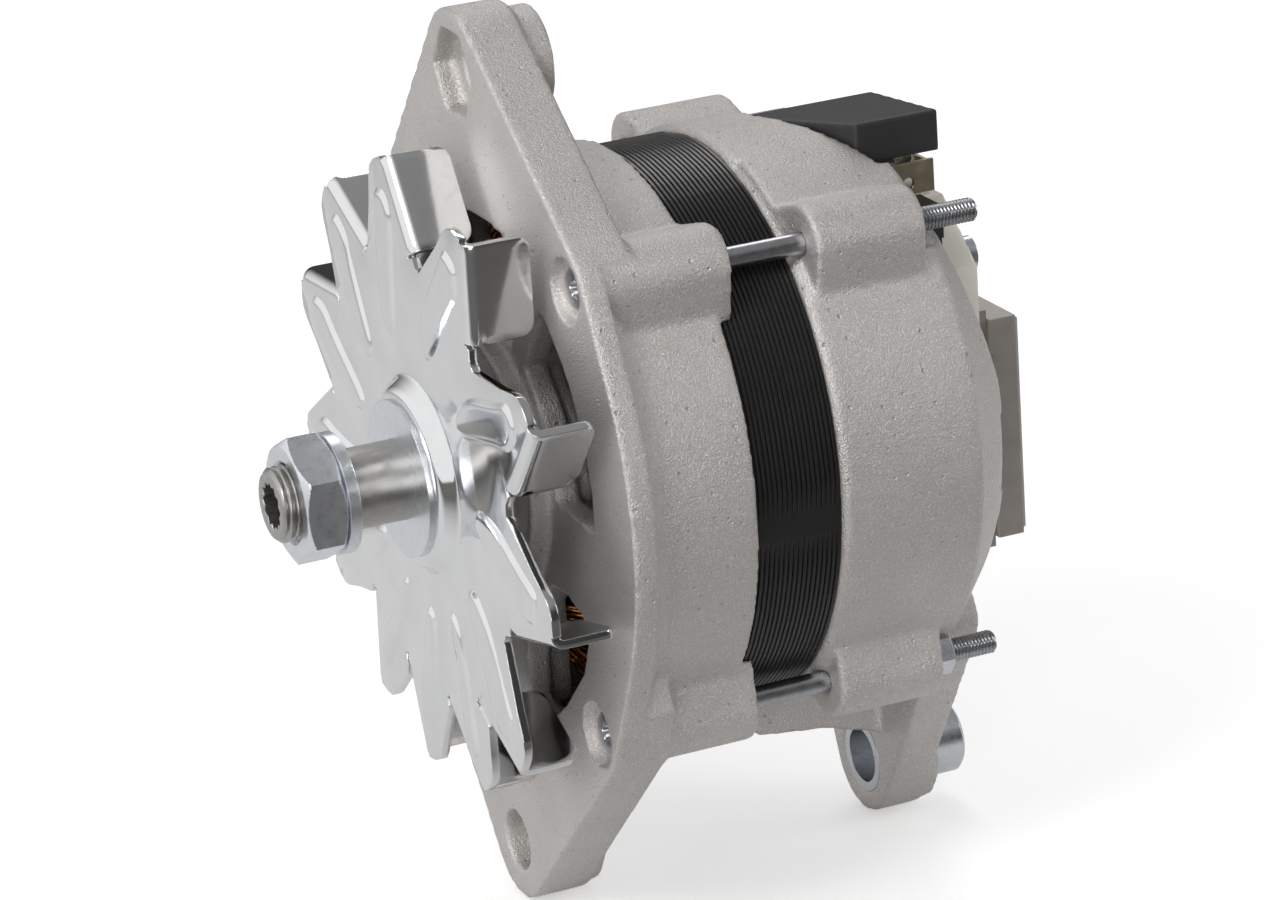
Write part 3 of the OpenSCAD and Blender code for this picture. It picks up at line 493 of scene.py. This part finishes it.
# %% Brackets and mouldings
# name, facet in mm, rounds of smoothing, share of facets kept, share of the dents
CASTINGS = [("drive_end_bracket", 0.75, 4, 0.5, 1.0), ("slip_ring_end_bracket", 0.75, 4, 0.5, 1.0),
            ("terminal_cover", 0.45, 5, 0.4, 0.2), ("brush_holder", 0.5, 2, 0.4, 0.2),
            ("regulator_body", 0.5, 3, 0.4, 0.2), ("terminal_insulator", 0.4, 1, 0.4, 0.2)]
DENTS = [(110.0, 0.05), (450.0, 0.03)]  # waves per metre and depth in mm


def casting(name, facet, rounds, keep, dents):
    """A casting or moulding with fillets, made from the skin of its solid and kept in its box."""
    source = nodes[name]
    made = bpy.data.objects.new(name + "_skin", source.data.copy())
    bpy.context.scene.collection.objects.link(made)
    made.matrix_world = source.matrix_world.copy()
    cells = made.modifiers.new("even skin", "REMESH")
    cells.mode, cells.voxel_size, cells.use_smooth_shade = "VOXEL", facet * MM, True
    ease = made.modifiers.new("fillets", "SMOOTH")
    ease.factor, ease.iterations = 0.5, rounds
    fewer = made.modifiers.new("fewer facets", "DECIMATE")
    fewer.ratio = keep
    shaped = bpy.data.meshes.new_from_object(made.evaluated_get(
        bpy.context.evaluated_depsgraph_get()))
    made.modifiers.clear()
    made.data = shaped
    low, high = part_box(name)
    count = len(shaped.vertices)
    spots, normals = np.empty(count * 3), np.empty(count * 3)
    shaped.vertices.foreach_get("co", spots)
    shaped.vertex_normals.foreach_get("vector", normals)
    spots, normals = spots.reshape(-1, 3), normals.reshape(-1, 3)
    push = dents * np.array([sum(noise.noise(Vector(p) * often) * depth for often, depth in DENTS)
                             for p in spots])
    spots = np.clip(spots + normals * push[:, None] * MM, low, high)
    shaped.vertices.foreach_set("co", spots.ravel())
    shaped.shade_smooth()
    shaped.set_sharp_from_angle(angle=math.radians(60))
    shaped.materials.clear()
    shaped.materials.append(slot_finish[slot_of[name]])
    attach(made, BODY_OF[name])
    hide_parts(name)
    print(name, len(shaped.polygons), "faces")


bpy.context.view_layer.update()
for name, facet, rounds, keep, dents in CASTINGS:
    casting(name, facet, rounds, keep, dents)

# %% [markdown]
# ## The stamped fan: its lines
# The fan is pressed from one sheet 1.8 mm thick. Twelve fingers of uneven spacing, which
# keeps the fan from whistling on one note, each end in a tip; one flank of each finger is
# bent back by a right angle as a blade, and a raised rib stiffens its root. As in the shop,
# the lines come first and the bending later: outline, bend lines and the feet of the ribs are
# worked out in the flat from the twelve angles of the tips.

# %% Lines of the fan's net
FAN_R, HUB_R, SHEET = 67.3, 21.4, 1.8
FAN_Y, HUB_Y, FAN_DEPTH = -17.5, -21.0, 14.1
FAN_TIPS = [22.4, 59, 95, 126, 154.4, 184, 210.6, 237.3, 260.1, 286.7, 307.3, 344.7]
BLADE, BEND, BLADE_CORNER = 21.0, 1.9, 2.8
RIB_RISE, RIB_SLOPE, RIB_STEPS = 0.9, 1.9, 6
# drop below the tip's radius and degrees past the tip, along the flank without a blade
FREE_FLANK = [(0.4, 2.5), (1.2, 5.5), (2.4, 7.6), (4.4, 8.9), (7.5, 10.3)]


def flat(radius, degrees):
    """A point of the flat net at a radius and an angle."""
    a = math.radians(degrees)
    return Vector((radius * math.cos(a), radius * math.sin(a)))


def bend_way(tip):
    """Unit vectors along and across the bend line of the finger whose tip is at an angle."""
    along = (flat(50.3, tip - 11) - flat(FAN_R, tip)).normalized()
    return along, Vector((along.y, -along.x))


def crossing(p, u, q, v):
    """Where a line from p along u meets a line from q along v."""
    d = q - p
    return p + u * ((d.x * v.y - d.y * v.x) / (u.x * v.y - u.y * v.x))


def rounded(loop, times=3):
    """A loop with its corners cut again and again, which tends to a smooth curve."""
    for _ in range(times):
        loop = [p for i in range(len(loop)) for p in
                (loop[i] * 0.78 + loop[(i + 1) % len(loop)] * 0.22,
                 loop[i] * 0.22 + loop[(i + 1) % len(loop)] * 0.78)]
    return loop


def shrunk(loop, inset):
    """The loop moved inwards by an inset."""
    out = []
    for i, p in enumerate(loop):
        way = (loop[(i + 1) % len(loop)] - loop[i - 1]).normalized()
        out.append(p + Vector((-way.y, way.x)) * inset)
    return out


def rib_loop(tip, span):
    """The foot of a rib, narrower where the next finger is near."""
    r, k = FAN_R, min(1.0, span / 34.0)
    corners = [(r - 7, 1), (r - 7, 8 * k), (53, 10 * k), (41, 17 * k), (31, 20 * k),
               (28, 9 * k), (47, 1), (54, -1.5)]
    return rounded([flat(radius, tip + a) for radius, a in corners])


def rise(depth):
    """Height of a rib at a depth inside its foot, with a soft start and end."""
    t = min(max(depth / RIB_SLOPE, 0.0), 1.0)
    return RIB_RISE * t * t * (3 - 2 * t)


def finger(tip, following):
    """Outline from one tip to the next one's blade, and the bend line of that blade."""
    steps = 12
    along, across = bend_way(following)
    inset = across * BEND
    flank = flat(FAN_R - 10, tip + 11.5)
    slope = (flat(46, tip + 21) - flank).normalized()
    start = flat(FAN_R, following) + across * (SHEET / 2)
    valley = crossing(flank, slope, start, along)
    notch = start + along * (BLADE + 0.9)
    line = [start + inset + along * (BLADE * k / steps) for k in range(steps + 1)]
    outline = [flat(FAN_R - drop, tip + past) for drop, past in FREE_FLANK] + [flank]
    outline += [flank * 0.35 + valley * 0.65, flank * 0.1 + valley * 0.9]
    outline += [valley * 0.6 + notch * 0.4, notch]
    outline += [notch + inset * 0.6, notch + inset - along * 0.4] + line[::-1]
    return outline, (line, along, across)


print("fingers:", len(FAN_TIPS))

# %% [markdown]
# ## The stamped fan: its sheet
# The punch stretches each rib out of the flat sheet, with soft flanks. A displaced grid would
# need millions of points for them. Here the outline and the rings of points round every rib
# go into a constrained triangulation, which puts points only where the form changes, and the
# height of a point follows from how deep inside a rib it lies.

# %% The sheet with its ribs
def sheet_net(outline):
    """The flat of the fan between its outline and its hub, with ribs raised by depth."""
    spots, heights, edges = [], [], []

    def loop_in(loop):
        first = len(spots)
        spots.extend(loop)
        heights.extend([0.0] * len(loop))
        edges.extend((first + i, first + (i + 1) % len(loop)) for i in range(len(loop)))

    loop_in(outline)
    loop_in([flat(HUB_R, 5.0 * k) for k in range(72)])
    for tip, following in zip(FAN_TIPS, FAN_TIPS[1:] + FAN_TIPS[:1]):
        base = rib_loop(tip, (following - tip) % 360)
        loop_in(base)
        for k in range(1, RIB_STEPS + 2):
            inset = RIB_SLOPE * k / RIB_STEPS
            for p in shrunk(base, inset):
                if min((p - q).length for q in base) > inset * 0.96:
                    spots.append(p)
                    heights.append(rise(inset))
    points, _, faces, origins, _, _ = delaunay_2d_cdt(spots, edges, [], 2, 1e-4)
    tall = [max((heights[o] for o in origin), default=0.0) for origin in origins]
    faces = [tuple(face) for face in faces
             if (sum((points[i] for i in face), Vector((0, 0))) / len(face)).length > HUB_R]
    return [Vector((p.x, FAN_Y + SHEET / 2 - h, p.y)) for p, h in zip(points, tall)], faces


print("ribs rise", RIB_RISE, "mm over", RIB_SLOPE, "mm")

# %% [markdown]
# ## The stamped fan: its blades and hub
# Each blade goes through a quarter bend first, so that the sheet doesn't crack. Bend and
# blade are strips that start from the same points as the sheet, and the weld in `piece` joins
# them. The hub is a shallow cup in front. The sheet gets its thickness last, by Solidify, so
# that it is the same everywhere, as in any pressed part.

# %% Bends, blades and hub
def blade_skin(line, along, across):
    """A quarter bend and a blade behind it, with both free corners rounded."""
    middle_y, rows = FAN_Y + SHEET / 2, []
    reach = FAN_DEPTH - SHEET / 2 - BEND
    for k in range(7):
        a = math.radians(15.0 * k)
        out, back = -BEND * math.sin(a), BEND * (1 - math.cos(a))
        rows.append([Vector((p.x + across.x * out, middle_y + back, p.y + across.y * out))
                     for p in line])
    for k in range(1, 11):
        depth = reach * k / 10 if k < 5 else reach - BLADE_CORNER * (1 - math.sin(
            math.radians(15.0 * (k - 4))))
        over = max(0.0, depth - (reach - BLADE_CORNER)) / BLADE_CORNER
        pull = BLADE_CORNER * (1 - math.sqrt(max(0.0, 1 - over * over)))
        row = []
        for j in range(len(line)):
            s = pull + BLADE * j / (len(line) - 1) * (BLADE - 2 * pull) / BLADE
            spot = line[0] + along * s + across * -BEND
            row.append(Vector((spot.x, middle_y + BEND + depth, spot.y)))
        rows.append(row)
    return skin(rows, closed=False)


def fan_net():
    """Sheet, blades and hub of the fan as one surface without thickness."""
    outline, blades = [], []
    for tip, following in zip(FAN_TIPS, FAN_TIPS[1:] + FAN_TIPS[:1]):
        edge, blade = finger(tip, following)
        outline += edge
        blades.append(blade_skin(*blade))
    sheet_y, hub_y = FAN_Y + SHEET / 2, HUB_Y + SHEET / 2
    profile = [(HUB_R, sheet_y), (20.9, sheet_y - 0.1), (20.4, sheet_y - 0.4),
               (19.9, sheet_y - 0.95), (18.4, hub_y + 0.8), (17.9, hub_y + 0.3),
               (17.3, hub_y + 0.05), (16.6, hub_y), (8.6, hub_y)]
    return join(sheet_net(outline), *blades, skin([ring(r, y) for r, y in profile]))


fan = piece("stamped_fan", *fan_net(), ["cooling_fan"], angle=30.0)
thick = fan.modifiers.new("sheet", "SOLIDIFY")
thick.thickness, thick.offset, thick.use_even_offset = SHEET * MM, 0.0, True
bevel(fan, 0.3, 2, 50.0)

# %% [markdown]
# ## Threads
# A thread is one groove that winds round a bar. It could be swept along a helix and cut out,
# which is slow and leaves torn edges. On a grid of points round the bar, the depth depends
# only on how far along a point lies plus its share of a turn, so one formula cuts it.

# %% A thread
def saw(x):
    """A ridge profile from 0 in the groove to 1 on the crest."""
    x = x % 1.0
    return min(1.0, max(0.0, (1.0 - abs(2.0 * x - 1.0)) * 1.5 - 0.1))


def threaded(radius, pitch, depth, y0, y1, count=48, per_turn=8, lead=1.0):
    """Rows of a thread between two places, with a short taper at y0."""
    steps = int(round((y1 - y0) / pitch * per_turn))
    rows = []
    for k in range(steps + 1):
        y = y0 + (y1 - y0) * k / steps
        ease = min(1.0, max(0.0, (y1 - y) / pitch))
        start = min(0.0, (y - y0) - lead)
        rows.append(ring(lambda a: min(radius - depth * ease * (1 - saw(y / pitch - a / 360.0)),
                                       radius + start), y, count))
    return rows


print("a thread of", len(threaded(2.5, 0.8, 0.5, 0.0, 8.0)), "rings for 10 turns")

# %% [markdown]
# ## Shaft and nut
# The shaft is turned in steps: thread, ground journal for the pulley, bearing seats and core.
# A twelve point socket in its end holds it while the nut is tightened. The nut is a hexagon
# whose corners are turned off by a cone. A Boolean could cut it, but a point of its skin lies
# at the lesser of both radii, which draws the curved chamfer lines by itself.

# %% Shaft and nut
SHAFT_END, LOCK_Y = -50.5, -35.5
# radius and place of each turned step behind the thread
SHAFT_STEPS = [(8.0, LOCK_Y), (8.2, LOCK_Y + 0.05), (8.5, LOCK_Y + 0.35), (8.5, -1.0), (8.5, 9.0),
               (10.0, 9.0), (10.0, 40.0), (10.0, 72.0), (7.5, 72.0), (7.5, 84.0), (5.0, 84.0),
               (5.0, 98.0), (4.7, 98.3), (0.3, 98.3)]
NUT_ACROSS, NUT_BORE, NUT_Y = 24.0, 8.0, (-47.0, -38.0)


def star_radius(points, low, high):
    """The radius of a star's outline by angle."""
    def at(a):
        share = (a * points / 360.0) % 1.0
        return high + (low - high) * (1 - abs(2 * share - 1))
    return at


def shaft_skin():
    """The rotor shaft: twelve point socket, thread, journal and steps."""
    end, count = SHAFT_END, 96
    socket = star_radius(12, 4.3, 5.2)
    rows = [ring(0.3, end + 12, count), ring(socket, end + 11.9, count),
            ring(socket, end + 0.25, count),
            ring(lambda a: socket(a) + 0.3, end, count), ring(6.7, end, count)]
    rows += threaded(8.0, 1.5, 0.92, end + 0.05, LOCK_Y - 0.2, count)
    return skin(rows + [ring(radius, y, count) for radius, y in SHAFT_STEPS])


def nut_skin(across, bore, y0, y1):
    """A hexagon nut with coned corners and a countersunk bore."""
    count, steep, inset, rear_share = 120, 1.75, 0.35, 1.15
    flat_r, corner_r = across / 2, across / math.sqrt(3)

    def coned(drop):
        limit = flat_r - inset + drop * steep
        return lambda a: min(flat_r / math.cos(math.radians((a + 30.0) % 60.0 - 30.0)), limit)

    tall = (corner_r - flat_r + inset) / steep + 0.05
    drops = [tall * k / 8 for k in range(9)]
    half = ring(bore, y0 + (y1 - y0) / 2, count)
    rows = [half, ring(bore, y0 + 0.9, count), ring(bore + 0.9, y0, count)]
    rows += [ring(coned(d), y0 + d, count) for d in drops]
    rows += [ring(coned(d), y1 - d * rear_share, count) for d in reversed(drops)]
    return skin(rows + [ring(bore + 0.5, y1, count), ring(bore, y1 - 0.5, count), half])


piece("rotor_shaft_turned", *shaft_skin(), ["rotor_shaft"], angle=42.0)
piece("pulley_nut_forged", *nut_skin(NUT_ACROSS, NUT_BORE, *NUT_Y), ["pulley_nut"], angle=24.0)

# %% [markdown]
# ## Through bolts
# Four long screws hold the machine together. Each has a flat head sunk in the front bracket
# with a six-lobe socket, a plain shank across the open stator, and a rolled thread whose end
# stands out behind as a stud. One screw is made about its own axis, as rings of points from
# the floor of the socket to the tip, and then moved to the four corners of the rectangle.

# %% Four bolts as one piece
BOLTS = [(42.3, 47.5), (-42.3, 47.5), (-42.3, -47.5), (42.3, -47.5)]
STUD_END, THREAD_START = 91.5, 64.0


def lobes(more):
    """The outline of a six-lobe socket, widened by some tenths at its mouth."""
    return lambda a: 1.72 + 0.36 * math.cos(math.radians(6 * a)) + more


def bolt_skin():
    """One screw about its own axis: socket, sunk head, shank and rolled end."""
    count = 36
    profile = [(0.2, 3.9), (lobes(-0.25), 3.85), (lobes(0.0), 3.6), (lobes(0.0), 2.25),
               (lobes(0.2), 2.05), (3.7, 2.0), (4.15, 2.08), (4.4, 2.3), (4.45, 2.55),
               (2.225, 4.6), (2.225, 63.0)]
    rows = [ring(radius, y, count) for radius, y in profile]
    thread = threaded(2.5, 0.8, 0.5, -STUD_END, -THREAD_START, count, 6, 0.45)
    rows += [[Vector((p.x, -p.y, p.z)) for p in row] for row in reversed(thread)]
    return skin(rows + [ring(0.2, STUD_END, count)])


bolt_points, bolt_faces = bolt_skin()
piece("through_bolt_set", *join(*[(moved(bolt_points, x, z), bolt_faces) for x, z in BOLTS]),
      ["through_bolts"], angle=40.0, look_of=rolled)

# %% [markdown]
# ## Stator stack
# The stack is eighteen plates, held by flat welded bands along the outside and dipped in black
# varnish. The plates could be an Array of one disc, but they touch, and the weld runs across
# all of them. So one skin goes over the whole stack, in and out between the plates, and fills
# the grooves where a weld runs. The bore shows the 36 slots of the winding.

# %% The stack of plates
STACK, SEAT, PLATES, SLOTS = (30.0, 49.5), 4.0, 18, 36
STACK_R, SEAT_R, BORE_R, SLOT_R = 60.2, 57.55, 47.5, 55.0
WELDS = [-6.3, 100.0, 173.7, 280.0]


def stack_skin():
    """The plates one by one, with slots inside and four flat welds outside."""
    pitch = (STACK[1] - STACK[0]) / PLATES
    slot = [(-2.35, BORE_R), (2.35, BORE_R), (2.71, SLOT_R), (5.0, SLOT_R), (7.29, SLOT_R)]
    inner = [(s * 360.0 / SLOTS + a, radius) for s in range(SLOTS) for a, radius in slot]

    def outer(radius, y, groove=0.0):
        row = []
        for a, _ in inner:
            band = 1.0 if min(abs((a - w + 180) % 360 - 180) for w in WELDS) < 4.0 else 0.0
            row.append(polar(radius - groove * (1 - band) - band * 0.25, a, y))
        return row

    def bore(y):
        return [polar(radius, a, y) for a, radius in inner]

    front, rear = STACK[0] - SEAT, STACK[1] + SEAT
    rows = [bore(front), outer(SEAT_R - 0.25, front), outer(SEAT_R, front + 0.3),
            outer(SEAT_R, STACK[0])]
    for k in range(PLATES):
        y = STACK[0] + pitch * k
        rows += [outer(STACK_R, y + 0.02, 0.55), outer(STACK_R, y + 0.26),
                 outer(STACK_R, y + pitch - 0.2)]
    rows += [outer(STACK_R, STACK[1], 0.5), outer(SEAT_R, STACK[1]), outer(SEAT_R, rear - 0.3),
             outer(SEAT_R - 0.25, rear), bore(rear), bore(front)]
    return skin(rows)


piece("stator_plates", *stack_skin(), ["stator_core"], angle=25.0)

# %% [markdown]
# ## Winding
# Enamelled copper glimmers through the front windows. Each strand of a wave winding runs
# through a slot, arches over three teeth in the coil head and comes back through the next
# slot of its phase, all the way round, and closes on itself. A lump with a wire texture would
# look flat in a close view, so every strand is a thin tube along its own path.

# %% Winding
def tube(path, radius, sides=6):
    """A closed tube along a closed path."""
    rows = []
    for i, p in enumerate(path):
        way = (path[(i + 1) % len(path)] - path[i - 1]).normalized()
        out = Vector((p.x, 0.0, p.z)).normalized()
        side = way.cross(out).normalized()
        out = side.cross(way)
        rows.append([p + (out * math.cos(math.tau * k / sides)
                          + side * math.sin(math.tau * k / sides)) * radius
                     for k in range(sides)])
    rows.append(rows[0])
    return skin(rows)


def wave_strand(slot, front_first, layer, side_step):
    """One closed strand: slots 30 degrees apart, joined by arches in front and behind."""
    radius = 49.6 + 1.05 * layer
    head = 9.0 - 1.0 * (layer % 3)
    path = []
    for k in range(SLOTS // 3):
        a0 = (slot + 3 * k) * 10.0 + side_step
        front = (k % 2 == 0) == front_first
        y_in, y_out = (STACK[0] - SEAT, -1.0) if front else (STACK[1] + SEAT, 1.0)
        for j in range(9):
            t = j / 8
            lift = math.sin(math.pi * t) ** 0.55 * head
            bulge = 0.7 * math.sin(math.pi * t) * (1 if layer % 2 else -1)
            path.append(polar(radius + bulge, a0 + 30.0 * t, y_in + y_out * lift))
    return path


WIRE_R, SIDE_STEPS, LAYERS = 0.5, (0.62, 1.75), 5
strands = [tube(wave_strand(slot, first, layer, step if first else -step), WIRE_R)
           for step in SIDE_STEPS for slot in range(3)
           for first in (False, True) for layer in range(LAYERS)]
piece("wave_winding", *join(*strands), ["stator_winding"], angle=60.0)

# %% [markdown]
# ## Brush springs
# Each carbon brush is pushed onto its slip ring by a coil of zinc plated wire that stands on
# the floor of the holder. It is wound on a mandrel with one dead turn at each end. As the
# brush backs off by 5 mm the coil is squeezed from 8 to 3 mm, so it flattens with the slide.
# A Screw modifier could draw it, but the squeeze needs a finished mesh.

# %% Two coils
COIL_R, COIL_WIRE, COIL_TURNS = 1.5, 0.3, 7


def coil(low, high, radius, wire_r, turns):
    """A closed-end coil spring that fills the height of a box."""
    sides, per_turn = 10, 28
    mid, rows = (low + high) / 2, []
    for i in range(turns * per_turn + 1):
        wound = i / per_turn
        share = min(1.0, max(0.0, (wound - 1.0) / (turns - 2.0)))
        z = low.z + wire_r + (high.z - low.z - 2.0 * wire_r) * share
        out = Vector((math.cos(math.tau * wound), math.sin(math.tau * wound), 0.0))
        rows.append([Vector((mid.x, mid.y, z + wire_r * math.sin(math.tau * k / sides)))
                     + out * (radius + wire_r * math.cos(math.tau * k / sides))
                     for k in range(sides)])
    points, faces = skin(rows)
    return points, faces + [tuple(range(sides)), tuple(range(len(points) - sides, len(points)))]


for letter in "ab":
    low, high = [Vector(corner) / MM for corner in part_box("brush_spring_" + letter)]
    spring = piece("brush_coil_" + letter, *coil(low, high, COIL_R, COIL_WIRE, COIL_TURNS),
                   ["brush_spring_" + letter], angle=60.0)
    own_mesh(spring)
